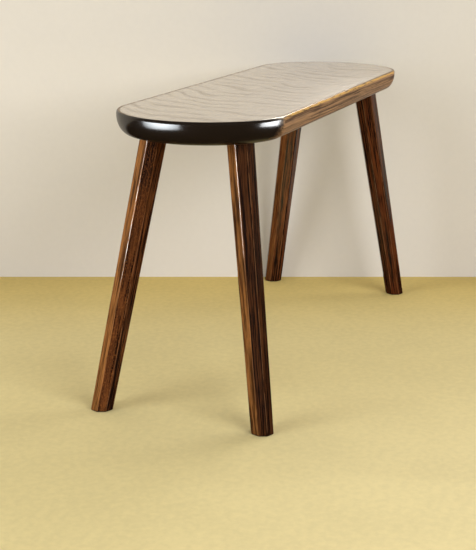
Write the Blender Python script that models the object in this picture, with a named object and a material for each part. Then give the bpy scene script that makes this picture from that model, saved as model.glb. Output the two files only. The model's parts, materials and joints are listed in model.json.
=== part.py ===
"""Kneeling bench: a rounded plank seat on four splayed octagonal legs.

Metres, +Z up. X runs along the seat, and the origin is on the floor under the middle of the seat.
Each leg ends in a round tenon that fills a blind mortise in the underside of the seat. A thin
wedge sits in a kerf in the tenon's end. It is driven home as the joint closes, and it spreads the
tenon so that the leg can't pull out. Nothing moves once the joints are glued.
"""

import math

import bmesh
import bpy

# Seat plank
SEAT_HEIGHT = 0.2445
SEAT_LENGTH = 0.471
SEAT_WIDTH = 0.140
SEAT_THICKNESS = 0.019
END_RADIUS = 0.0705  # a little over half the width, so each end meets the sides at a soft corner
END_STEPS = 32
UPPER_EDGE_IN = 0.0013  # the small rounding of the upper edge, inwards and downwards
UPPER_EDGE_DOWN = 0.0028
UPPER_EDGE_STEPS = 3
LOWER_EDGE_IN = 0.0112  # the large rolled lower edge, inwards and upwards
LOWER_EDGE_UP = 0.0158
LOWER_EDGE_STEPS = 7

# Legs, measured on the leg's centre line
FOOT_X = 0.2165
FOOT_Y = 0.0700
SPLAY = 0.0337  # how far the foot stands out past the head, along X and along Y alike
FOOT_ACROSS_FLATS = 0.0176
HEAD_ACROSS_FLATS = 0.0215
LEG_SIDES = 8
ARRIS_ROUNDING = 0.045  # radius of the eased long edges, as a share of the width across flats
FOOT_EASE = 0.0010

# Joints
FIT_GAP = 0.0003
TENON_RADIUS = 0.0078
TENON_LENGTH = 0.0125
TENON_CHAMFER = 0.0006
MORTISE_END_GAP = 0.0005
WEDGE_LENGTH = 0.0090
WEDGE_WIDTH = 0.0130
WEDGE_TIP = 0.0006
WEDGE_BUTT = 0.0022
CUT_PAST = 0.0030  # how far a cutter runs on past the surface it cuts

UNDERSIDE = SEAT_HEIGHT - SEAT_THICKNESS
LEG_TILT = math.atan2(SPLAY * math.sqrt(2.0), UNDERSIDE)
HEAD_ALONG = UNDERSIDE / math.cos(LEG_TILT)  # from foot to underside, along the leg
TENON_END = HEAD_ALONG + TENON_LENGTH
POINTS_PER_ARRIS = 3
LEG_POINTS = LEG_SIDES * POINTS_PER_ARRIS

# Each leg stands towards one corner: sign of X, sign of Y
CORNERS = {
    "front_left": (-1, -1),
    "front_right": (1, -1),
    "back_left": (-1, 1),
    "back_right": (1, 1),
}


def clear_scene():
    for old in list(bpy.data.objects):
        bpy.data.objects.remove(old)


def wood(name, colour, roughness):
    material = bpy.data.materials.new(name)
    material.use_nodes = True
    shader = material.node_tree.nodes["Principled BSDF"]
    shader.inputs["Base Color"].default_value = (*colour, 1.0)
    shader.inputs["Roughness"].default_value = roughness
    shader.inputs["Metallic"].default_value = 0.0
    return material


def skin(name, rings):
    """A closed mesh through equal-length rings of points, anticlockwise from above, lowest first."""
    mesh = bpy.data.meshes.new(name)
    bm = bmesh.new()
    loops = [[bm.verts.new(point) for point in ring] for ring in rings]
    count = len(rings[0])
    for lower, upper in zip(loops, loops[1:]):
        for i in range(count):
            j = (i + 1) % count
            bm.faces.new((lower[i], lower[j], upper[j], upper[i]))
    bm.faces.new(loops[0][::-1])
    bm.faces.new(loops[-1])
    bm.to_mesh(mesh)
    bm.free()
    return mesh


def smooth(mesh, degrees):
    mesh.shade_smooth()
    mesh.set_sharp_from_angle(angle=math.radians(degrees))


def add_object(name, mesh, material=None, parent=None):
    thing = bpy.data.objects.new(name, mesh)
    bpy.context.scene.collection.objects.link(thing)
    thing.parent = parent
    if material is not None:
        mesh.materials.clear()
        mesh.materials.append(material)
    return thing


def add_cutter(name, mesh, parent):
    cutter = add_object(name, mesh, parent=parent)
    cutter.hide_render = True
    cutter.display_type = "WIRE"
    return cutter


def cut(target, cutter):
    step = target.modifiers.new("cut_" + cutter.name, "BOOLEAN")
    step.operation = "DIFFERENCE"
    step.solver = "EXACT"
    step.object = cutter


def seat_outline(inset, height):
    """The seat's plan, drawn in by inset: two straight sides and two arcs, parallel to the full plan."""
    radius = END_RADIUS - inset
    centre = SEAT_LENGTH / 2 - END_RADIUS
    reach = math.asin((SEAT_WIDTH / 2 - inset) / radius)
    points = []
    for end in (0.0, math.pi):
        for i in range(END_STEPS + 1):
            angle = end - reach + 2 * reach * i / END_STEPS
            x = math.copysign(centre, math.cos(end)) + radius * math.cos(angle)
            points.append((x, radius * math.sin(angle), height))
    return points


def seat_mesh():
    rings = []
    for i in range(LOWER_EDGE_STEPS + 1):
        turn = math.pi / 2 * i / LOWER_EDGE_STEPS
        inset = LOWER_EDGE_IN * (1 - math.sin(turn))
        rings.append(seat_outline(inset, UNDERSIDE + LOWER_EDGE_UP * (1 - math.cos(turn))))
    for i in range(UPPER_EDGE_STEPS + 1):
        turn = math.pi / 2 * (1 - i / UPPER_EDGE_STEPS)
        inset = UPPER_EDGE_IN * (1 - math.sin(turn))
        rings.append(seat_outline(inset, SEAT_HEIGHT - UPPER_EDGE_DOWN * (1 - math.cos(turn))))
    mesh = skin("seat", rings)
    smooth(mesh, 40)
    return mesh


def octagon_points():
    """The leg's section at a width of 1 across flats, with eased corners; one corner points along +X."""
    corner = 0.5 / math.cos(math.pi / LEG_SIDES)
    centre = corner - ARRIS_ROUNDING / math.cos(math.pi / LEG_SIDES)
    points = []
    for side in range(LEG_SIDES):
        middle = 2 * math.pi * side / LEG_SIDES
        for step in range(POINTS_PER_ARRIS):
            angle = middle + (step / (POINTS_PER_ARRIS - 1) - 0.5) * 2 * math.pi / LEG_SIDES
            x = centre * math.cos(middle) + ARRIS_ROUNDING * math.cos(angle)
            y = centre * math.sin(middle) + ARRIS_ROUNDING * math.sin(angle)
            points.append((x, y))
    return points


def leg_ring(height, ease=0.0):
    """The tapered section where a level plane at this height above the floor meets the leaning leg."""
    taper = (HEAD_ACROSS_FLATS - FOOT_ACROSS_FLATS) / HEAD_ALONG
    width = FOOT_ACROSS_FLATS - 2 * ease
    ring = []
    for x, y in octagon_points():
        lean = math.sin(LEG_TILT) * x
        along = (height - lean * width) / (math.cos(LEG_TILT) + lean * taper)
        across = width + taper * along
        ring.append((x * across, y * across, along))
    return ring


def tenon_angle(i):
    return 2 * math.pi * (i - (POINTS_PER_ARRIS - 1) / 2) / LEG_POINTS


def tenon_ring(radius, along):
    """A circle square to the leg, with one point for each point of the leg's section."""
    angles = [tenon_angle(i) for i in range(LEG_POINTS)]
    return [(radius * math.cos(a), radius * math.sin(a), along) for a in angles]


def tenon_root(height):
    """The tenon's circle where it leaves the level shoulder at this height."""
    ring = []
    for x, y, _ in tenon_ring(TENON_RADIUS, 0.0):
        along = (height - math.sin(LEG_TILT) * x) / math.cos(LEG_TILT)
        ring.append((x, y, along))
    return ring


def leg_mesh():
    shoulder = UNDERSIDE - FIT_GAP
    rings = [
        leg_ring(0.0, FOOT_EASE),
        leg_ring(FOOT_EASE),
        leg_ring(shoulder),
        tenon_root(shoulder),
        tenon_ring(TENON_RADIUS, TENON_END - TENON_CHAMFER),
        tenon_ring(TENON_RADIUS - TENON_CHAMFER, TENON_END),
    ]
    mesh = skin("leg", rings)
    smooth(mesh, 20)
    return mesh


def mortise_mesh():
    """Cutter for the blind mortise, down the leg's own axis."""
    radius = TENON_RADIUS + FIT_GAP
    start = HEAD_ALONG - radius * math.tan(LEG_TILT) - CUT_PAST
    rings = [tenon_ring(radius, start), tenon_ring(radius, TENON_END + MORTISE_END_GAP)]
    return skin("mortise", rings)


def box_ring(thickness, width, along):
    x = thickness / 2
    y = width / 2
    return [(-x, -y, along), (x, -y, along), (x, y, along), (-x, y, along)]


def wedge_mesh():
    """The wedge, thin end down. It stands on the tenon's end, one fit gap short of the mortise's end."""
    butt = TENON_END + MORTISE_END_GAP - FIT_GAP
    rings = [
        box_ring(WEDGE_TIP, WEDGE_WIDTH, butt - WEDGE_LENGTH),
        box_ring(WEDGE_BUTT, WEDGE_WIDTH, butt),
    ]
    return skin("tenon_wedge", rings)


def kerf_mesh():
    """Cutter for the kerf: the wedge's own taper with a fit gap round it, right across the tenon."""
    butt = TENON_END + MORTISE_END_GAP - FIT_GAP
    slope = (WEDGE_BUTT - WEDGE_TIP) / WEDGE_LENGTH
    width = 2 * (TENON_RADIUS + CUT_PAST)
    low = butt - WEDGE_LENGTH - FIT_GAP
    high = butt + CUT_PAST
    rings = [
        box_ring(WEDGE_TIP + 2 * FIT_GAP, width, low),
        box_ring(WEDGE_BUTT + 2 * FIT_GAP + slope * CUT_PAST, width, high),
    ]
    return skin("kerf", rings)


def corner_frame(name, sign_x, sign_y):
    """An empty at the foot's centre. Its Z runs up the leg and its X points the way the leg splays."""
    frame = bpy.data.objects.new("corner_" + name, None)
    bpy.context.scene.collection.objects.link(frame)
    heading = math.atan2(sign_y, sign_x)
    frame.location = (sign_x * FOOT_X, sign_y * FOOT_Y, 0.0)
    frame.rotation_euler = (0.0, -LEG_TILT, heading)
    return frame, heading


def build():
    clear_scene()
    seat_wood = wood("seat_oak", (0.075, 0.034, 0.018), 0.16)
    leg_wood = wood("leg_oak", (0.100, 0.040, 0.018), 0.24)
    wedge_wood = wood("wedge_oak", (0.330, 0.200, 0.100), 0.60)
    seat = add_object("seat", seat_mesh(), seat_wood)
    leg_shape = leg_mesh()
    wedge_shape = wedge_mesh()
    mortise_shape = mortise_mesh()
    kerf_shape = kerf_mesh()
    for name, (sign_x, sign_y) in CORNERS.items():
        frame, heading = corner_frame(name, sign_x, sign_y)
        leg = add_object("leg_" + name, leg_shape, leg_wood, frame)
        wedge = add_object("tenon_wedge_" + name, wedge_shape, wedge_wood, frame)
        mortise = add_cutter("mortise_" + name, mortise_shape, frame)
        kerf = add_cutter("kerf_" + name, kerf_shape, frame)
        # The wedge spreads the tenon along the seat's grain, so that it can't split the plank
        wedge.rotation_euler = (0.0, 0.0, -heading)
        kerf.rotation_euler = (0.0, 0.0, -heading)
        cut(seat, mortise)
        cut(leg, kerf)


build()
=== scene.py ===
"""The looks of the kneeling bench: dark stained oak under a gloss finish, on a plain pale set."""

import json
import math
from collections import namedtuple

import bmesh
import bpy
from mathutils import Matrix, Vector, noise


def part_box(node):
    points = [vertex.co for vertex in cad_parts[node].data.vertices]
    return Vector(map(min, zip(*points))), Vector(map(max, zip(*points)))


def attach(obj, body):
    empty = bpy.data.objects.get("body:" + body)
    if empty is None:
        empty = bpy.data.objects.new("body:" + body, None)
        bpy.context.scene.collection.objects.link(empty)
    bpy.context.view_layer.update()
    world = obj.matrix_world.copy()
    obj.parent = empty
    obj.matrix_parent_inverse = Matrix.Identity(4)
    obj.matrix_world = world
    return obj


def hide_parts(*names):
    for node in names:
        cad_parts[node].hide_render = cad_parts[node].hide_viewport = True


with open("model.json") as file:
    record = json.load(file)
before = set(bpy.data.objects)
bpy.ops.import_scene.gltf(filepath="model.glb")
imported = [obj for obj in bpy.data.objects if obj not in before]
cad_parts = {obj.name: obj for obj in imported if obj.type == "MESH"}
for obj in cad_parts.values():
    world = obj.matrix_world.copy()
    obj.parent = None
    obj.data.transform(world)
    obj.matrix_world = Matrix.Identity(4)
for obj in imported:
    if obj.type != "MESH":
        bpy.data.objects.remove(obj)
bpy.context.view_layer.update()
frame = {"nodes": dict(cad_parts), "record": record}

# What the frame says: the seat's box, and where each leg's foot stands
SEAT_LOW, SEAT_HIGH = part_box("seat")
SEAT_LENGTH = SEAT_HIGH.x - SEAT_LOW.x
SEAT_WIDTH = SEAT_HIGH.y - SEAT_LOW.y
SEAT_TOP = SEAT_HIGH.z
UNDERSIDE = SEAT_LOW.z
FEET = {
    mount["name"].removeprefix("foot_"): Vector(mount["pos_m"])
    for mount in frame["record"]["mounts"]
    if mount["name"].startswith("foot_")
}

# Seat, in metres
END_RADIUS = 0.0705
END_STEPS = 72
SIDE_STEPS = 60
UPPER_EDGE_IN = 0.0013
UPPER_EDGE_DOWN = 0.0028
UPPER_EDGE_STEPS = 7
LOWER_EDGE_IN = 0.0112
LOWER_EDGE_UP = 0.0158
LOWER_EDGE_STEPS = 16
TOP_RINGS = 24
LAST_RING_HALF_WIDTH = 0.0005
RIPPLE_HEIGHT = 0.00003
RIPPLE_SINK = 0.5  # how far the ripples sit below the CAD's top, as a share of their height
RIPPLE_LENGTH = 0.011
RIPPLE_WIDTH = 0.090
SEAT_CREASE = 30  # degrees; an edge that turns more than this stays crisp

# Legs, in metres
SPLAY = 0.0337
FOOT_ACROSS_FLATS = 0.0176
HEAD_ACROSS_FLATS = 0.0215
LEG_SIDES = 8
ARRIS_ROUNDING = 0.075  # as a share of the leg's width
POINTS_PER_ARRIS = 5
POINTS_PER_FACET = 3
LEG_BANDS = 60
FOOT_EASE = 0.0010
FOOT_EASE_STEPS = 4
FACET_WAVE = 0.00012
FACET_WAVE_LENGTH = 0.035
FACET_WAVES_ACROSS = 2.0  # in the leg's width
LEG_CREASE = 35  # degrees

# Joints, in metres
FIT_GAP = 0.0003
TENON_RADIUS = 0.0078
TENON_LENGTH = 0.0125
TENON_CHAMFER = 0.0006
MORTISE_END_GAP = 0.0005
WEDGE_LENGTH = 0.0090
WEDGE_TIP = 0.0006
WEDGE_BUTT = 0.0022
CUT_PAST = 0.0030

LEG_TILT = math.atan2(SPLAY * math.sqrt(2.0), UNDERSIDE)
HEAD_ALONG = UNDERSIDE / math.cos(LEG_TILT)
TENON_END = HEAD_ALONG + TENON_LENGTH
POINTS_PER_SIDE = POINTS_PER_ARRIS + POINTS_PER_FACET
LEG_POINTS = LEG_SIDES * POINTS_PER_SIDE

# How far the stain is rubbed through, 0 to 1, stored on each point of a mesh; along the seat's long
# upper edges it also places a painted golden highlight
RUB_AND_GLINT = "rub_and_glint"
# The sides' rub is real rub and also a painted golden highlight on the seat's long upper edges.
SIDE_RUB_AND_GLINT = 0.35
CORNER_RUB = 0.45
FOOT_RUB = 0.6
RUB_FADE_STEPS = 4  # points into each end over which the sides' rub and painted highlight fade
RUB_FROM_RING = 4  # the lowest ring whose corners are rubbed

# Oak's patterns: scale is spots per metre each way, and low to high the part of the noise that shows
Pattern = namedtuple("Pattern", "scale detail roughness low high")
PORES = Pattern((70.0, 1500.0, 1500.0), 1.0, 0.5, 0.55, 0.66)
FLECKS = Pattern((560.0, 1250.0, 1250.0), 2.0, 0.6, 0.50, 0.62)
CLOUDS = Pattern((16.0, 60.0, 60.0), 3.0, 0.5, 0.40, 0.75)
# PATCHES breaks up the painted light on the legs' lit facets.
PATCHES = Pattern((20.0, 420.0, 420.0), 3.0, 0.6, 0.38, 0.60)
WEAR = Pattern((70.0, 500.0, 700.0), 3.0, 0.6, 0.38, 0.54)
RIBBON_BREAKS = Pattern((60.0, 25.0, 0.0), 2.0, 0.5, 0.34, 0.54)
STREAK_SHAPE = (3.0, 0.6, 0.45, 0.57)
HAIR_SHAPE = (2.0, 0.6, 0.47, 0.58)
SWAY_SCALE = (9.0, 20.0, 20.0)
RIBBON_BEND_SCALE = (9.0, 14.0, 0.0)
RIBBON_WOBBLE_SCALE = (30.0, 12.0, 0.0)
FILM_SCALE = (240.0, 70.0, 70.0)
RIBBONS_PER_METRE = 45.0
RIBBON_SLOPE = 0.35
RIBBON_BOW = 3.9
RIBBON_BEND = 0.06
RIBBON_WOBBLE = 1.4
RIBBON_CREST = (0.30, 0.95)
RIBBON_STAIN = 0.6
LEAST_PATCH = 0.15
LEAST_SHINE = 0.15
WORN_DULLNESS = 0.8
END_DULLNESS = 0.4
PORE_ROUGHNESS = 0.2
STREAK_RELIEF = 0.35
FILM_RELIEF = 0.25
BUMP_DEPTH = 0.00006

# How squarely a surface must face each way, where an effect starts and where it is full
EVEN_FACE = (0.7, 0.95)
RIBBON_FACE = (0.8, 0.95)
SHINY_FACE = (0.5, 1.0)
END_FACE = (0.08, 0.28)
SIDE_FACE = (0.01, 0.07)
FLECK_FACE = (0.78, 0.92)
# The facet that faces the left lights, where the legs get painted light.
LIT_FACE_BAND = (0.75, 0.95)
RUBBED_ENOUGH = (0.40, 0.95)

BLACK = (0.006, 0.0035, 0.0025, 1.0)
END_GRAIN = (0.014, 0.009, 0.006, 1.0)
ALONG_X = (0.0, 0.0, 0.0)  # a turn that leaves the grain along the piece's own X
ALONG_Z = (0.0, math.pi / 2, 0.0)  # a turn that puts the grain along the piece's own Z

# A look is how a piece's oak is stained and finished. Colours are linear; faces are in the wood's axes.
#   dark, mid, warm: the grain's streaks          golden, pale, lit_face: painted light, paler golden patches on the facet facing the left lights
#   even, even_top: plain colour on broad faces, partly stain and partly painted sheen    rubbed, wear: bare edges, and how bare they are, and also a painted golden highlight on the seat's long upper edges
#   streak_scale, hair_scale: lines per metre     sway: how far the grain wanders, in metres
#   hair, fleck, cloud, pore, ends, ribbon: how strong each figure is, 0 to 1
#   ray_face: the faces with flecks               side_matt: how matt the long sides are
#   shine: the wood's own gloss                   coat, coat_roughness, coat_ior: the varnish
#   film, relief: how uneven the varnish and the wood are
PLAIN_LOOK = {
    "even": (0.4, 0.3, 0.2, 1.0), "even_top": 0.0, "lit_golden": (0.4, 0.3, 0.2, 1.0),
    "pale": 0.0, "lit_face": (0.0, 1.0, 0.0), "fleck": 0.0, "ray_face": (0.0, 0.0, 1.0),
    "ribbon": 0.0, "side_matt": 0.0, "roughness": 0.30,
    "coat": 1.0, "coat_ior": 1.5, "relief": 0.50,
}
SEAT_LOOK = PLAIN_LOOK | {
    "dark": (0.065, 0.030, 0.016, 1.0), "mid": (0.290, 0.165, 0.092, 1.0),
    # The seat's rub colour and its strength paint a golden highlight on the long upper edges, besides
    # real rub.
    "warm": (0.440, 0.250, 0.118, 1.0), "rubbed_and_glint": (0.78, 0.47, 0.16, 1.0),
    # The seat's even colour is lighter than its stain alone: partly painted sheen, which lifts the top.
    "even": (0.150, 0.088, 0.036, 1.0), "even_top": 0.85,
    "streak_scale": (5.0, 1300.0, 460.0), "hair_scale": (12.0, 2600.0, 1100.0),
    "sway": (0.0, 0.0004, 0.004), "hair": 0.6, "cloud": 0.1, "pore": 0.3,
    "ends": 1.0, "wear_and_glint": 0.80, "side_matt": 0.94, "ribbon": 0.38,
    "shine": 0.8, "coat_roughness": 0.16, "coat_ior": 1.70, "film": 0.012, "relief": 0.05,
}
LEG_LOOK = PLAIN_LOOK | {
    "dark": (0.012, 0.004, 0.0025, 1.0), "mid": (0.110, 0.032, 0.010, 1.0),
    "warm": (0.240, 0.080, 0.022, 1.0), "rubbed_and_glint": (0.42, 0.20, 0.09, 1.0),
    # The golden colour is painted light: the paler colour of the facet that faces the left lights.
    "lit_golden": (0.46, 0.19, 0.055, 1.0),
    "streak_scale": (10.0, 380.0, 380.0), "hair_scale": (26.0, 1000.0, 1000.0),
    "sway": (0.0, 0.004, 0.004), "hair": 0.4, "cloud": 0.5, "pore": 0.6,
    "ends": 0.8, "wear_and_glint": 0.3, "shine": 0.02, "coat_roughness": 0.09, "film": 0.18,
}
# Each leg's pale facet is the one that faces the left lights: painted light, strongest on the two legs
# at the -X end.
LEG_CHANGES = {
    "back_left": {
        "fleck": 0.55, "ray_face": (0.0, 0.924, -0.383), "pale": 0.8,
        "lit_face": (0.0, 0.383, -0.924), "mid": (0.095, 0.030, 0.010, 1.0),
    },
    "front_left": {
        "mid": (0.055, 0.019, 0.007, 1.0), "warm": (0.130, 0.045, 0.014, 1.0),
        "pale": 0.65, "lit_face": (0.0, -0.924, -0.383),
    },
    "back_right": {"pale": 0.3, "lit_face": (0.0, 0.924, 0.383)},
    "front_right": {
        "mid": (0.105, 0.028, 0.009, 1.0), "warm": (0.210, 0.066, 0.017, 1.0), "hair": 0.30,
    },
}
BARE_LOOK = PLAIN_LOOK | {
    "dark": (0.26, 0.16, 0.08, 1.0), "mid": (0.38, 0.25, 0.13, 1.0),
    "warm": (0.44, 0.28, 0.15, 1.0), "rubbed_and_glint": (0.44, 0.30, 0.17, 1.0),
    "streak_scale": (11.0, 330.0, 330.0), "hair_scale": (28.0, 900.0, 900.0),
    "sway": (0.0, 0.002, 0.002), "hair": 0.3, "fleck": 0.2, "cloud": 0.3, "pore": 0.5,
    "ends": 0.2, "wear_and_glint": 0.0, "roughness": 0.60, "shine": 0.3,
    "coat": 0.0, "coat_roughness": 0.3, "film": 0.10,
}

# Each leg's own waves and grain: the step from one leg to the next
LEG_WAVE_STEP = 7.0
LEG_GRAIN_STEP = Vector((0.17, 0.05, 0.0))
LEG_GRAIN_START = Vector((0.0, 0.0, 0.09))
WEDGE_GRAIN_START = (0.3, 0.1, 0.2)

# Camera
CAMERA_AT = (-1.1147, -0.3805, 0.3868)
CAMERA_YAW = 0.35437
CAMERA_PITCH = -0.26548
CAMERA_ROLL = 0.01094
CAMERA_LENS = 84.59  # millimetres

# Set
WALL_YAW = 0.39574  # the way the wall's back faces, from +X
WALL_AWAY = 0.2385  # from the origin
SET_SIZE = 8.0
FLOOR_COLOUR = (0.79, 0.65, 0.315)
# Painted shade: the floor is darker and deeper in colour along the foot of the wall.
FLOOR_WALL_SHADE = (0.95, 0.87, 0.62)
FLOOR_MOTTLE = 0.05
FLOOR_LIT = 0.06  # how far out from the origin the bench's gloss mirrors the floor
FLOOR_LIT_FADE = 0.15
WALL_COLOUR = (0.75, 0.70, 0.64)
WALL_MOTTLE = 0.01
WALL_SHADE_REACH = 0.25  # how far out from the wall the floor is darker and deeper in colour: painted shade along the foot of the wall
FINE_MOTTLE_SCALE = (170.0, 170.0, 170.0)
BROAD_MOTTLE_SCALE = (14.0, 14.0, 14.0)
FINE_SHARE = 0.6
MOTTLE_BAND = (0.3, 0.7)
STAGE_ROUGHNESS = 0.8
STAGE_SHINE = 0.15
COOL = (0.90, 0.96, 1.0)
WHITE = (0.96, 0.98, 1.0)
WARM = (1.0, 0.95, 0.845)
HONEY = (1.0, 0.80, 0.52)
STUDIO_COLOUR = (1.0, 0.95, 0.88, 1.0)
STUDIO_GLOW = 0.05
CARD_SPREAD = 70  # degrees


# ---------------------------------------------------------------- geometry

def new_object(name, mesh):
    thing = bpy.data.objects.new(name, mesh)
    bpy.context.scene.collection.objects.link(thing)
    return thing


def skin(name, rings, rubs=None):
    """A closed mesh through equal-length rings of points, anticlockwise from above, lowest first."""
    mesh = bpy.data.meshes.new(name)
    bm = bmesh.new()
    loops = [[bm.verts.new(point) for point in ring] for ring in rings]
    count = len(rings[0])
    for lower, upper in zip(loops, loops[1:]):
        for i in range(count):
            j = (i + 1) % count
            bm.faces.new((lower[i], lower[j], upper[j], upper[i]))
    bm.faces.new(loops[0][::-1])
    bm.faces.new(loops[-1])
    bm.to_mesh(mesh)
    bm.free()
    if rubs is not None:
        attribute = mesh.attributes.new(RUB_AND_GLINT, "FLOAT", "POINT")
        attribute.data.foreach_set("value", [value for ring in rubs for value in ring])
    return mesh


def smooth(mesh, degrees):
    mesh.shade_smooth()
    mesh.set_sharp_from_angle(angle=math.radians(degrees))


def carve(thing, cutters):
    """Cuts each cutter out of the mesh, then removes the cutters."""
    for cutter in cutters:
        step = thing.modifiers.new("cut", "BOOLEAN")
        step.operation = "DIFFERENCE"
        step.solver = "EXACT"
        step.object = cutter
    shape = thing.evaluated_get(bpy.context.evaluated_depsgraph_get())
    carved = bpy.data.meshes.new_from_object(shape)
    thing.modifiers.clear()
    thing.data = carved
    for cutter in cutters:
        bpy.data.objects.remove(cutter)


def seat_outline(inset, height):
    """The seat's plan, drawn in by inset: two arcs and two straight sides, with evenly spaced points."""
    radius = END_RADIUS - inset
    centre = SEAT_LENGTH / 2 - END_RADIUS
    reach = math.asin((SEAT_WIDTH / 2 - inset) / radius)
    corner = centre + radius * math.cos(reach)
    points = []
    for end in (1, -1):
        for i in range(END_STEPS + 1):
            angle = -reach + 2 * reach * i / END_STEPS
            x = centre + radius * math.cos(angle)
            points.append((end * x, end * radius * math.sin(angle), height))
        for i in range(1, SIDE_STEPS):
            x = corner - 2 * corner * i / SIDE_STEPS
            points.append((end * x, end * (SEAT_WIDTH / 2 - inset), height))
    return points


def ripple(x, y):
    """Faint waves across the seat that a hand plane leaves on quartered oak."""
    place = Vector((x / RIPPLE_LENGTH, y / RIPPLE_WIDTH, 0.0))
    return RIPPLE_HEIGHT * (noise.noise(place) - RIPPLE_SINK)


def seat_rings():
    """The seat's rings, up its edge and in over its top, and how rubbed each one is; on the upper edge
    the rub also paints a golden highlight.
    """
    rings = []
    rubs = []
    for i in range(LOWER_EDGE_STEPS + 1):
        turn = math.pi / 2 * i / LOWER_EDGE_STEPS
        inset = LOWER_EDGE_IN * (1 - math.sin(turn))
        rings.append(seat_outline(inset, UNDERSIDE + LOWER_EDGE_UP * (1 - math.cos(turn))))
        rubs.append(SIDE_RUB_AND_GLINT if i == LOWER_EDGE_STEPS else 0.0)
    for i in range(UPPER_EDGE_STEPS + 1):
        turn = math.pi / 2 * (1 - i / UPPER_EDGE_STEPS)
        inset = UPPER_EDGE_IN * (1 - math.sin(turn))
        rings.append(seat_outline(inset, SEAT_TOP - UPPER_EDGE_DOWN * (1 - math.cos(turn))))
        # Rub rising to its fullest halfway round the upper rounding: real rub and a painted golden
        # highlight.
        rubs.append(SIDE_RUB_AND_GLINT + (1 - SIDE_RUB_AND_GLINT) * math.sin(math.pi * i / UPPER_EDGE_STEPS))
    deepest = SEAT_WIDTH / 2 - LAST_RING_HALF_WIDTH
    for i in range(1, TOP_RINGS + 1):
        inset = UPPER_EDGE_IN + (deepest - UPPER_EDGE_IN) * i / TOP_RINGS
        ring = seat_outline(inset, SEAT_TOP)
        rings.append([(x, y, z + ripple(x, y)) for x, y, z in ring])
        rubs.append(0.0)
    return rings, rubs


def side_shares():
    """How much of the sides' rub and painted highlight each point of a ring has: all along the sides,
    fading into the ends.
    """
    shares = []
    for i in range(2 * (END_STEPS + SIDE_STEPS)):
        turn = i % (END_STEPS + SIDE_STEPS)
        into_end = min(turn, END_STEPS - turn) / RUB_FADE_STEPS
        shares.append(max(0.0, 1.0 - into_end) if turn <= END_STEPS else 1.0)
    return shares


def corner_rubs():
    """The rub down the seat's four corners, at each point of a ring."""
    half = END_STEPS + SIDE_STEPS
    rubs = [0.0] * (2 * half)
    for corner in (0, END_STEPS, half, half + END_STEPS):
        for step in (-1, 0, 1):
            rubs[(corner + step) % len(rubs)] = CORNER_RUB * (1.0 - abs(step) / 2)
    return rubs


def make_seat():
    rings, ring_rubs = seat_rings()
    shares = side_shares()
    corners = corner_rubs()
    plain_ring = [0.0] * len(corners)
    rubs = []
    for i, rub_and_glint in enumerate(ring_rubs):
        on_edge = RUB_FROM_RING <= i < LOWER_EDGE_STEPS + UPPER_EDGE_STEPS
        least = corners if on_edge else plain_ring
        rubs.append([max(rub_and_glint * share, low) for share, low in zip(shares, least)])
    mesh = skin("seat_visual", rings, rubs)
    smooth(mesh, SEAT_CREASE)
    return new_object("seat_plank", mesh)


def octagon_points():
    """The leg's section at a width of 1, one corner along +X: (x, y, rub) with rub 1 on the corners."""
    corner = 0.5 / math.cos(math.pi / LEG_SIDES)
    centre = corner - ARRIS_ROUNDING / math.cos(math.pi / LEG_SIDES)
    turn = 2 * math.pi / LEG_SIDES
    points = []
    for side in range(LEG_SIDES):
        middle = turn * side
        for step in range(POINTS_PER_ARRIS):
            share = step / (POINTS_PER_ARRIS - 1)
            angle = middle + (share - 0.5) * turn
            x = centre * math.cos(middle) + ARRIS_ROUNDING * math.cos(angle)
            y = centre * math.sin(middle) + ARRIS_ROUNDING * math.sin(angle)
            points.append((x, y, math.sin(math.pi * share)))
        start = Vector(points[-1][:2])
        after = middle + turn
        end = Vector((centre * math.cos(after), centre * math.sin(after)))
        end += ARRIS_ROUNDING * Vector((math.cos(middle + turn / 2), math.sin(middle + turn / 2)))
        for step in range(1, POINTS_PER_FACET + 1):
            spot = start.lerp(end, step / (POINTS_PER_FACET + 1))
            points.append((spot.x, spot.y, 0.0))
    return points


def leg_ring(height, ease=0.0, seed=0.0):
    """The tapered section where a level plane at this height above the floor meets the leaning leg."""
    taper = (HEAD_ACROSS_FLATS - FOOT_ACROSS_FLATS) / HEAD_ALONG
    width = FOOT_ACROSS_FLATS - 2 * ease
    ring = []
    for x, y, _ in octagon_points():
        lean = math.sin(LEG_TILT) * x
        along = (height - lean * width) / (math.cos(LEG_TILT) + lean * taper)
        spot = (x * FACET_WAVES_ACROSS, y * FACET_WAVES_ACROSS + seed, along / FACET_WAVE_LENGTH)
        wave = noise.noise(Vector(spot))
        across = width + taper * along + FACET_WAVE * wave
        ring.append((x * across, y * across, along))
    return ring


def tenon_ring(radius, along):
    """A circle square to the leg, with one point for each point of the leg's section."""
    ring = []
    for x, y, _ in octagon_points():
        angle = math.atan2(y, x)
        ring.append((radius * math.cos(angle), radius * math.sin(angle), along))
    return ring


def tenon_root(height):
    """The tenon's circle where a level plane at this height meets it."""
    ring = []
    for x, y, _ in tenon_ring(TENON_RADIUS, 0.0):
        ring.append((x, y, (height - math.sin(LEG_TILT) * x) / math.cos(LEG_TILT)))
    return ring


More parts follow.
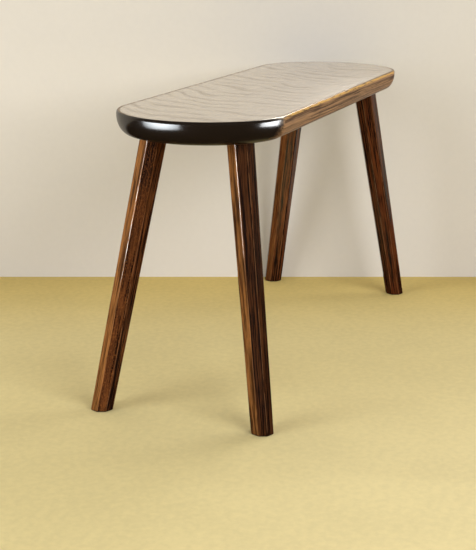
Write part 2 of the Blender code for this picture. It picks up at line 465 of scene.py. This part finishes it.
def make_leg(name, seed):
    shoulder = UNDERSIDE - FIT_GAP
    rings = []
    for i in range(FOOT_EASE_STEPS + 1):
        turn = math.pi / 2 * i / FOOT_EASE_STEPS
        ease = FOOT_EASE * (1 - math.sin(turn))
        rings.append(leg_ring(FOOT_EASE * (1 - math.cos(turn)), ease, seed))
    for i in range(1, LEG_BANDS + 1):
        height = FOOT_EASE + (shoulder - FOOT_EASE) * i / LEG_BANDS
        rings.append(leg_ring(height, 0.0, seed))
    body_rings = len(rings)
    rings.append(tenon_root(shoulder))
    rings.append(tenon_ring(TENON_RADIUS, TENON_END - TENON_CHAMFER))
    rings.append(tenon_ring(TENON_RADIUS - TENON_CHAMFER, TENON_END))
    arris = [rub_and_glint for _, _, rub_and_glint in octagon_points()]
    rubs = []
    for i in range(len(rings)):
        if i < FOOT_EASE_STEPS:
            rubs.append([FOOT_RUB] * LEG_POINTS)
        elif i < body_rings:
            rubs.append(arris)
        else:
            rubs.append([0.0] * LEG_POINTS)
    mesh = skin(name, rings, rubs)
    smooth(mesh, LEG_CREASE)
    return new_object(name, mesh)


def box_ring(thickness, width, along):
    x = thickness / 2
    y = width / 2
    return [(-x, -y, along), (x, -y, along), (x, y, along), (-x, y, along)]


def kerf_cutter():
    butt = TENON_END + MORTISE_END_GAP - FIT_GAP
    slope = (WEDGE_BUTT - WEDGE_TIP) / WEDGE_LENGTH
    width = 2 * (TENON_RADIUS + CUT_PAST)
    low = box_ring(WEDGE_TIP + 2 * FIT_GAP, width, butt - WEDGE_LENGTH - FIT_GAP)
    high = box_ring(WEDGE_BUTT + 2 * FIT_GAP + slope * CUT_PAST, width, butt + CUT_PAST)
    return new_object("kerf", skin("kerf", [low, high]))


def mortise_cutter():
    radius = TENON_RADIUS + FIT_GAP
    start = HEAD_ALONG - radius * math.tan(LEG_TILT) - CUT_PAST
    rings = [tenon_ring(radius, start), tenon_ring(radius, TENON_END + MORTISE_END_GAP)]
    return new_object("mortise", skin("mortise", rings))


def leg_place(foot):
    """Where a leg stands: at its foot, Z up the leg, X the way it splays."""
    heading = math.atan2(math.copysign(1, foot.y), math.copysign(1, foot.x))
    turn = Matrix.Rotation(heading, 4, "Z") @ Matrix.Rotation(-LEG_TILT, 4, "Y")
    return Matrix.Translation(foot) @ turn, heading


# ---------------------------------------------------------------- materials

class Nodes:
    """Short names for making a material's nodes and links."""

    def __init__(self, name):
        self.material = bpy.data.materials.new(name)
        self.material.use_nodes = True
        self.tree = self.material.node_tree
        self.tree.nodes.clear()

    def add(self, kind, settings=None, **inputs):
        node = self.tree.nodes.new("ShaderNode" + kind)
        for key, value in (settings or {}).items():
            setattr(node, key, value)
        for key, value in inputs.items():
            self.feed(node.inputs[key.replace("_", " ")], value)
        return node

    def feed(self, socket, value):
        if isinstance(value, bpy.types.NodeSocket):
            self.tree.links.new(value, socket)
        else:
            socket.default_value = value

    def math(self, operation, *values):
        node = self.tree.nodes.new("ShaderNodeMath")
        node.operation = operation
        for socket, value in zip(node.inputs, values):
            self.feed(socket, value)
        return node.outputs[0]

    def times(self, first, second):
        return self.math("MULTIPLY", first, second)

    def without(self, share):
        return self.math("SUBTRACT", 1.0, share)

    def vectors(self, operation, *values):
        node = self.tree.nodes.new("ShaderNodeVectorMath")
        node.operation = operation
        for socket, value in zip(node.inputs, values):
            self.feed(socket, value)
        return node.outputs

    def stretch(self, vector, scale):
        return self.vectors("MULTIPLY", vector, scale)["Vector"]

    def shift(self, vector, amount):
        return self.vectors("ADD", vector, amount)["Vector"]

    def dot(self, vector, direction):
        return self.vectors("DOT_PRODUCT", vector, direction)["Value"]

    def noise(self, vector, detail=3.0, roughness=0.55):
        node = self.add("TexNoise", Vector=vector, Scale=1.0, Detail=detail, Roughness=roughness)
        return node.outputs["Fac"]

    def pattern(self, vector, kind, strength=1.0, least=0.0):
        """Noise stretched to the pattern's scale, from least to strength over the band that shows."""
        spots = self.noise(self.stretch(vector, kind.scale), kind.detail, kind.roughness)
        return self.band(spots, kind.low, kind.high, least, strength)

    def band(self, value, low, high, to_low=0.0, to_high=1.0):
        """A smooth climb from to_low, where value is low, to to_high, where it is high."""
        node = self.add("MapRange", {"interpolation_type": "SMOOTHSTEP"}, Value=value)
        node.inputs["From Min"].default_value = low
        node.inputs["From Max"].default_value = high
        self.feed(node.inputs["To Min"], to_low)
        self.feed(node.inputs["To Max"], to_high)
        return node.outputs["Result"]

    def blend(self, share, first, second, mode="MIX"):
        node = self.tree.nodes.new("ShaderNodeMix")
        node.data_type = "RGBA"
        node.blend_type = mode
        self.feed(node.inputs[0], share)
        self.feed(node.inputs[6], first)
        self.feed(node.inputs[7], second)
        return node.outputs[2]


def oak(name, grain, start, look):
    """Oak as a solid: growth rings, pores and ray flecks run through the whole piece, so end grain,
    side and face all cut the same figure. grain turns the piece's own axes so that X is the grain,
    Y runs across the rings and Z lies along them."""
    n = Nodes(name)
    place = n.add("TexCoord").outputs["Object"]
    turned = n.add("Mapping", {"vector_type": "POINT"}, Vector=place, Rotation=grain, Location=start)
    base = turned.outputs["Vector"]
    facing = normal_along_grain(n, grain)
    faces = n.add("SeparateXYZ", Vector=facing).outputs
    broad = n.math("ABSOLUTE", faces["Z"])
    side = n.math("ABSOLUTE", faces["Y"])
    ends = n.band(n.math("ABSOLUTE", faces["X"]), *END_FACE, 0.0, look["ends"])

    colour, streak, pore = oak_grain(n, base, facing, look)
    # Broad faces take the even colour: partly stain, partly painted sheen that lifts the seat's top.
    colour = n.blend(n.band(broad, *EVEN_FACE, 0.0, look["even_top"]), colour, look["even"])
    colour = n.blend(ends, colour, END_GRAIN)
    # The rub colour: real rub, and on the seat's long upper edges also a painted golden highlight.
    rub_and_glint = n.add("Attribute", {"attribute_name": RUB_AND_GLINT}).outputs["Fac"]
    worn_and_glint = n.times(n.band(rub_and_glint, *RUBBED_ENOUGH), n.pattern(base, WEAR))
    colour = n.blend(n.times(worn_and_glint, look["wear_and_glint"]), colour, look["rubbed_and_glint"])
    ribbon = n.times(ribbons(n, base), n.band(broad, *RIBBON_FACE, 0.0, look["ribbon"]))
    colour = n.blend(n.times(ribbon, RIBBON_STAIN), colour, look["dark"])

    # The gloss is broken by the ribbons, rubbed edges and end grain, and is low on the long sides
    matt_side = n.times(n.band(side, *SIDE_FACE, 0.0, look["side_matt"]), n.without(ends))
    open_gloss = n.times(n.without(ribbon), n.without(matt_side))
    gloss = n.times(look["coat"], open_gloss)
    gloss = n.times(gloss, n.without(n.times(worn_and_glint, WORN_DULLNESS)))
    gloss = n.times(gloss, n.without(n.times(ends, END_DULLNESS)))
    shine = n.times(look["shine"], open_gloss)
    shine = n.times(shine, n.band(broad, *SHINY_FACE, LEAST_SHINE, 1.0))
    shine = n.times(shine, n.without(n.math("MAXIMUM", ends, worn_and_glint)))
    rough = n.math("ADD", look["roughness"], n.times(pore, PORE_ROUGHNESS * look["pore"]))

    relief = n.math("SUBTRACT", n.times(streak, STREAK_RELIEF), pore)
    film = n.math("ADD", n.noise(n.stretch(base, FILM_SCALE), 2.0, 0.5), n.times(relief, FILM_RELIEF))
    bump = n.add("Bump", Strength=look["relief"], Distance=BUMP_DEPTH, Height=relief)
    film_bump = n.add("Bump", Strength=look["film"], Distance=BUMP_DEPTH, Height=film)
    shader = n.add(
        "BsdfPrincipled", Base_Color=colour, Roughness=rough, Specular_IOR_Level=shine,
        Coat_Weight=gloss, Coat_Roughness=look["coat_roughness"], Coat_IOR=look["coat_ior"],
        Normal=bump.outputs["Normal"], Coat_Normal=film_bump.outputs["Normal"],
    )
    n.add("OutputMaterial", Surface=shader.outputs["BSDF"])
    return n.material


def oak_grain(n, base, facing, look):
    """The colour of the grain, with its streaks and its pores."""
    sway = n.add("TexNoise", Vector=n.stretch(base, SWAY_SCALE), Scale=1.0, Detail=2.0)
    centred = n.shift(sway.outputs["Color"], (-0.5, -0.5, -0.5))
    wood = n.shift(base, n.stretch(centred, look["sway"]))
    streak = n.pattern(wood, Pattern(look["streak_scale"], *STREAK_SHAPE))
    hair = n.pattern(wood, Pattern(look["hair_scale"], *HAIR_SHAPE), look["hair"])
    pore = n.pattern(wood, PORES)
    ray_face = n.math("ABSOLUTE", n.dot(facing, look["ray_face"]))
    fleck = n.times(n.pattern(wood, FLECKS), n.band(ray_face, *FLECK_FACE, 0.0, look["fleck"]))
    # Painted light: a paler golden patching on the facet that faces the left lights.
    lit_share = n.band(n.dot(facing, look["lit_face"]), *LIT_FACE_BAND, 0.0, look["pale"])
    painted_light_patch = n.times(lit_share, n.pattern(wood, PATCHES, 1.0, LEAST_PATCH))

    colour = n.blend(streak, look["dark"], look["mid"])
    colour = n.blend(hair, colour, look["warm"])
    colour = n.blend(fleck, colour, look["warm"])
    colour = n.blend(painted_light_patch, colour, look["lit_golden"])
    colour = n.blend(n.pattern(base, CLOUDS, look["cloud"]), colour, look["dark"])
    colour = n.blend(n.times(pore, look["pore"]), colour, BLACK)
    return colour, streak, pore


def ribbons(n, base):
    """Ribbons of ray figure curving across the board, seen in the gloss more than in the colour."""
    spot = n.add("SeparateXYZ", Vector=base).outputs
    across = spot["Y"]
    lean = n.times(across, RIBBON_SLOPE)
    bow = n.times(n.times(across, across), RIBBON_BOW)
    bend = n.times(n.noise(n.stretch(base, RIBBON_BEND_SCALE), 2.0, 0.5), RIBBON_BEND)
    along = n.math("SUBTRACT", n.math("ADD", spot["X"], bend), n.math("ADD", lean, bow))
    curved = n.add("CombineXYZ", X=along, Y=across).outputs["Vector"]
    wobble = n.times(n.noise(n.stretch(curved, RIBBON_WOBBLE_SCALE), 2.0, 0.5), RIBBON_WOBBLE)
    turns = n.math("ADD", n.times(along, RIBBONS_PER_METRE), wobble)
    wave = n.math("SINE", n.times(turns, 2 * math.pi))
    return n.times(n.band(wave, *RIBBON_CREST), n.pattern(curved, RIBBON_BREAKS))


def normal_along_grain(n, grain):
    """The surface's direction in the wood's own axes."""
    normal = n.add("NewGeometry").outputs["Normal"]
    own = n.add("VectorTransform", {"vector_type": "NORMAL"}, Vector=normal)
    own.convert_from = "WORLD"
    own.convert_to = "OBJECT"
    turned = n.add("Mapping", {"vector_type": "NORMAL"}, Vector=own.outputs["Vector"], Rotation=grain)
    return turned.outputs["Vector"]


def paint(thing, material):
    thing.data.materials.clear()
    thing.data.materials.append(material)


def plain(name, colour, mottle, wall_shade=(1.0, 1.0, 1.0)):
    """A matt stage surface with a fine mottle, darkened toward the wall by the given colour: painted
    shade along the foot of the wall.
    """
    n = Nodes(name)
    place = n.add("NewGeometry").outputs["Position"]
    fine = n.times(n.noise(n.stretch(place, FINE_MOTTLE_SCALE)), FINE_SHARE)
    broad = n.times(n.noise(n.stretch(place, BROAD_MOTTLE_SCALE)), 1.0 - FINE_SHARE)
    grain = n.math("ADD", fine, broad)
    pale = tuple((1.0 + mottle) * c for c in colour) + (1.0,)
    deep = tuple((1.0 - mottle) * c for c in colour) + (1.0,)
    shade = n.blend(n.band(grain, *MOTTLE_BAND), deep, pale)
    # Painted shade: darker colour along the foot of the wall.
    wall_shaded = n.blend(1.0, shade, wall_shade + (1.0,), "MULTIPLY")
    from_wall = n.math("SUBTRACT", WALL_AWAY, n.dot(place, heading_vector(WALL_YAW)))
    shade = n.blend(n.band(from_wall, 0.0, WALL_SHADE_REACH, 1.0, 0.0), shade, wall_shaded)
    shader = n.add(
        "BsdfPrincipled", Base_Color=shade, Roughness=STAGE_ROUGHNESS, Specular_IOR_Level=STAGE_SHINE,
    )
    return n, place, shader.outputs["BSDF"]


def mix_shaders(n, share, first, second):
    node = n.tree.nodes.new("ShaderNodeMixShader")
    n.feed(node.inputs[0], share)
    n.feed(node.inputs[1], first)
    n.feed(node.inputs[2], second)
    return node.outputs[0]


def floor_material():
    """The gloss of the bench mirrors only the floor near it, as in a dark studio."""
    n, place, surface = plain("floor_paper", FLOOR_COLOUR, FLOOR_MOTTLE, FLOOR_WALL_SHADE)
    away = n.vectors("LENGTH", place)["Value"]
    beyond = n.band(away, FLOOR_LIT, FLOOR_LIT + FLOOR_LIT_FADE)
    mirrored = n.add("LightPath").outputs["Is Glossy Ray"]
    # Beyond FLOOR_LIT, glossy rays see black in place of the lit floor: painted shade in the bench's
    # reflections.
    dark = n.add("BsdfDiffuse", Color=BLACK).outputs["BSDF"]
    n.add("OutputMaterial", Surface=mix_shaders(n, n.times(beyond, mirrored), surface, dark))
    return n.material


def wall_material():
    """The wall can't be seen from behind."""
    n, _, surface = plain("wall_paint", WALL_COLOUR, WALL_MOTTLE)
    back = n.add("NewGeometry").outputs["Backfacing"]
    clear = n.add("BsdfTransparent").outputs["BSDF"]
    n.add("OutputMaterial", Surface=mix_shaders(n, back, surface, clear))
    return n.material


# ---------------------------------------------------------------- the bench

def stand_in(thing, node):
    """Shows this piece in place of the CAD piece."""
    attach(thing, "root")
    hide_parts(node)


def build_leg(number, corner, foot):
    """A leg in its place with its tenon kerfed, and the cutter for its mortise."""
    matrix, heading = leg_place(foot)
    leg = make_leg("leg_" + corner + "_turned", LEG_WAVE_STEP * number)
    start = LEG_GRAIN_START + LEG_GRAIN_STEP * number
    paint(leg, oak("leg_oak_" + corner, ALONG_Z, start, LEG_LOOK | LEG_CHANGES[corner]))
    leg.matrix_world = matrix
    kerf = kerf_cutter()
    kerf.matrix_world = matrix @ Matrix.Rotation(-heading, 4, "Z")
    bpy.context.view_layer.update()
    carve(leg, [kerf])
    smooth(leg.data, LEG_CREASE)
    mortise = mortise_cutter()
    mortise.matrix_world = matrix
    stand_in(leg, "leg_" + corner)
    return leg, mortise


def build_bench():
    """The seat, the legs and the CAD wedges, painted; gives the seat and the legs back."""
    seat_oak = oak("seat_oak", ALONG_X, (0.0, 0.0, 0.0), SEAT_LOOK)
    bare_oak = oak("wedge_oak", ALONG_Z, WEDGE_GRAIN_START, BARE_LOOK)
    seat = make_seat()
    paint(seat, seat_oak)
    legs = []
    mortises = []
    for number, (corner, foot) in enumerate(sorted(FEET.items())):
        leg, mortise = build_leg(number, corner, foot)
        legs.append(leg)
        mortises.append(mortise)
        paint(frame["nodes"]["tenon_wedge_" + corner], bare_oak)
    bpy.context.view_layer.update()
    carve(seat, mortises)
    smooth(seat.data, SEAT_CREASE)
    stand_in(seat, "seat")
    return seat, legs


# ---------------------------------------------------------------- the set

def heading_vector(yaw):
    return Vector((math.cos(yaw), math.sin(yaw), 0.0))


def plane(name, matrix, width, height):
    mesh = bpy.data.meshes.new(name)
    x = width / 2
    y = height / 2
    mesh.from_pydata([(-x, -y, 0), (x, -y, 0), (x, y, 0), (-x, y, 0)], [], [(0, 1, 2, 3)])
    thing = new_object(name, mesh)
    thing.matrix_world = matrix
    return thing


def on_wall(right, up, out):
    """A place on the wall: right of the origin's foot on it, up from the floor, out in front of it."""
    away = heading_vector(WALL_YAW)
    side = heading_vector(WALL_YAW - math.pi / 2)
    return away * (WALL_AWAY - out) + side * right + Vector((0.0, 0.0, up))


def build_set():
    floor = plane("floor", Matrix.Translation((0, 0, 0)), SET_SIZE, SET_SIZE)
    paint(floor, floor_material())
    face = (-heading_vector(WALL_YAW)).to_track_quat("Z", "Y").to_matrix().to_4x4()
    middle = on_wall(0.0, SET_SIZE / 4, 0.0)
    wall = plane("wall", Matrix.Translation(middle) @ face, SET_SIZE, SET_SIZE / 2)
    paint(wall, wall_material())


def softbox(name, colour, glow, size, place, target):
    """A flat light; glow is how bright its face is, where a white wall in full light is 1.
    A narrower spread makes it brighter straight ahead."""
    data = bpy.data.lights.new(name, "AREA")
    data.shape = "RECTANGLE"
    data.size, data.size_y = size
    data.energy = glow * math.pi * data.size * data.size_y
    data.color = colour
    lamp = new_object(name, data)
    lamp.location = place
    lamp.rotation_euler = (Vector(target) - Vector(place)).to_track_quat("-Z", "Y").to_euler()
    lamp.visible_camera = False
    return lamp


def matt_light(**box):
    """A light that no gloss mirrors."""
    lamp = softbox(**box)
    lamp.visible_glossy = False


def gloss_light(spread, **box):
    """A light seen only in gloss."""
    lamp = softbox(**box)
    lamp.visible_diffuse = False
    lamp.data.spread = math.radians(spread)
    return lamp


def card(things, **box):
    """A narrow light seen only in the gloss of these things."""
    lamp = gloss_light(CARD_SPREAD, **box)
    seen = bpy.data.collections.new(lamp.name + "_seen_in")
    for thing in things:
        seen.objects.link(thing)
    lamp.light_linking.receiver_collection = seen


def build_lights(seat, legs):
    """The seat's left and right cards stay below its top, so that the top never mirrors them."""
    to_wall = heading_vector(WALL_YAW)
    back = on_wall(right=0.60, up=0.61, out=0.02)
    behind_top = on_wall(right=0.35, up=0.40, out=0.015)
    matt_light(
        name="left_box", colour=COOL, glow=3.2, size=(1.3, 1.3),
        place=(-1.95, 1.15, 1.4), target=(-0.1, 0.0, 0.2),
    )
    matt_light(
        name="left_glow", colour=WHITE, glow=4.5, size=(0.6, 0.5),
        place=(-1.0, 0.75, 0.32), target=(-0.2, 0.03, 0.15),
    )
    gloss_light(
        name="back_box", colour=WARM, glow=25.5, size=(1.0, 0.48),
        place=back, target=back - to_wall, spread=130,
    )
    matt_light(
        name="back_glow", colour=WHITE, glow=3.5, size=(1.0, 0.48),
        place=back, target=back - to_wall,
    )
    card(
        [seat], name="left_card", colour=COOL, glow=5.2, size=(0.46, 0.204),
        place=(-0.575, 0.275, 0.139), target=(-0.22, 0.02, 0.139),
    )
    card(
        [seat], name="right_card", colour=WHITE, glow=4.6, size=(0.27, 0.12),
        place=(-0.025, -0.43, 0.175), target=(-0.2, -0.07, 0.175),
    )
    card(
        legs, name="leg_card", colour=COOL, glow=5.0, size=(0.20, 0.29),
        place=(-0.561, 0.290, 0.255), target=(-0.22, 0.02, 0.255),
    )
    card(
        [seat], name="top_card", colour=HONEY, glow=0.022, size=(1.3, 0.36),
        place=behind_top, target=behind_top - to_wall,
    )
    matt_light(
        name="fill", colour=WHITE, glow=6.8, size=(2.4, 1.8),
        place=(-1.9, -2.7, 1.5), target=(0.0, 0.1, 0.1),
    )


def build_world():
    world = bpy.data.worlds.new("studio")
    bpy.context.scene.world = world
    world.use_nodes = True
    background = world.node_tree.nodes["Background"]
    background.inputs["Color"].default_value = STUDIO_COLOUR
    background.inputs["Strength"].default_value = STUDIO_GLOW


def build_camera():
    data = bpy.data.cameras.new("camera")
    data.lens = CAMERA_LENS
    data.sensor_width = 36.0
    data.clip_start = 0.05
    data.clip_end = 50.0
    camera = new_object("camera", data)
    turn = Matrix.Rotation(CAMERA_YAW - math.pi / 2, 4, "Z")
    tip = Matrix.Rotation(math.pi / 2 + CAMERA_PITCH, 4, "X")
    roll = Matrix.Rotation(CAMERA_ROLL, 4, "Z")
    camera.matrix_world = Matrix.Translation(CAMERA_AT) @ turn @ tip @ roll
    bpy.context.scene.camera = camera


seat_piece, leg_pieces = build_bench()
build_set()
build_world()
build_lights(seat_piece, leg_pieces)
build_camera()
bpy.context.scene.view_settings.view_transform = "Standard"
bpy.context.view_layer.update()
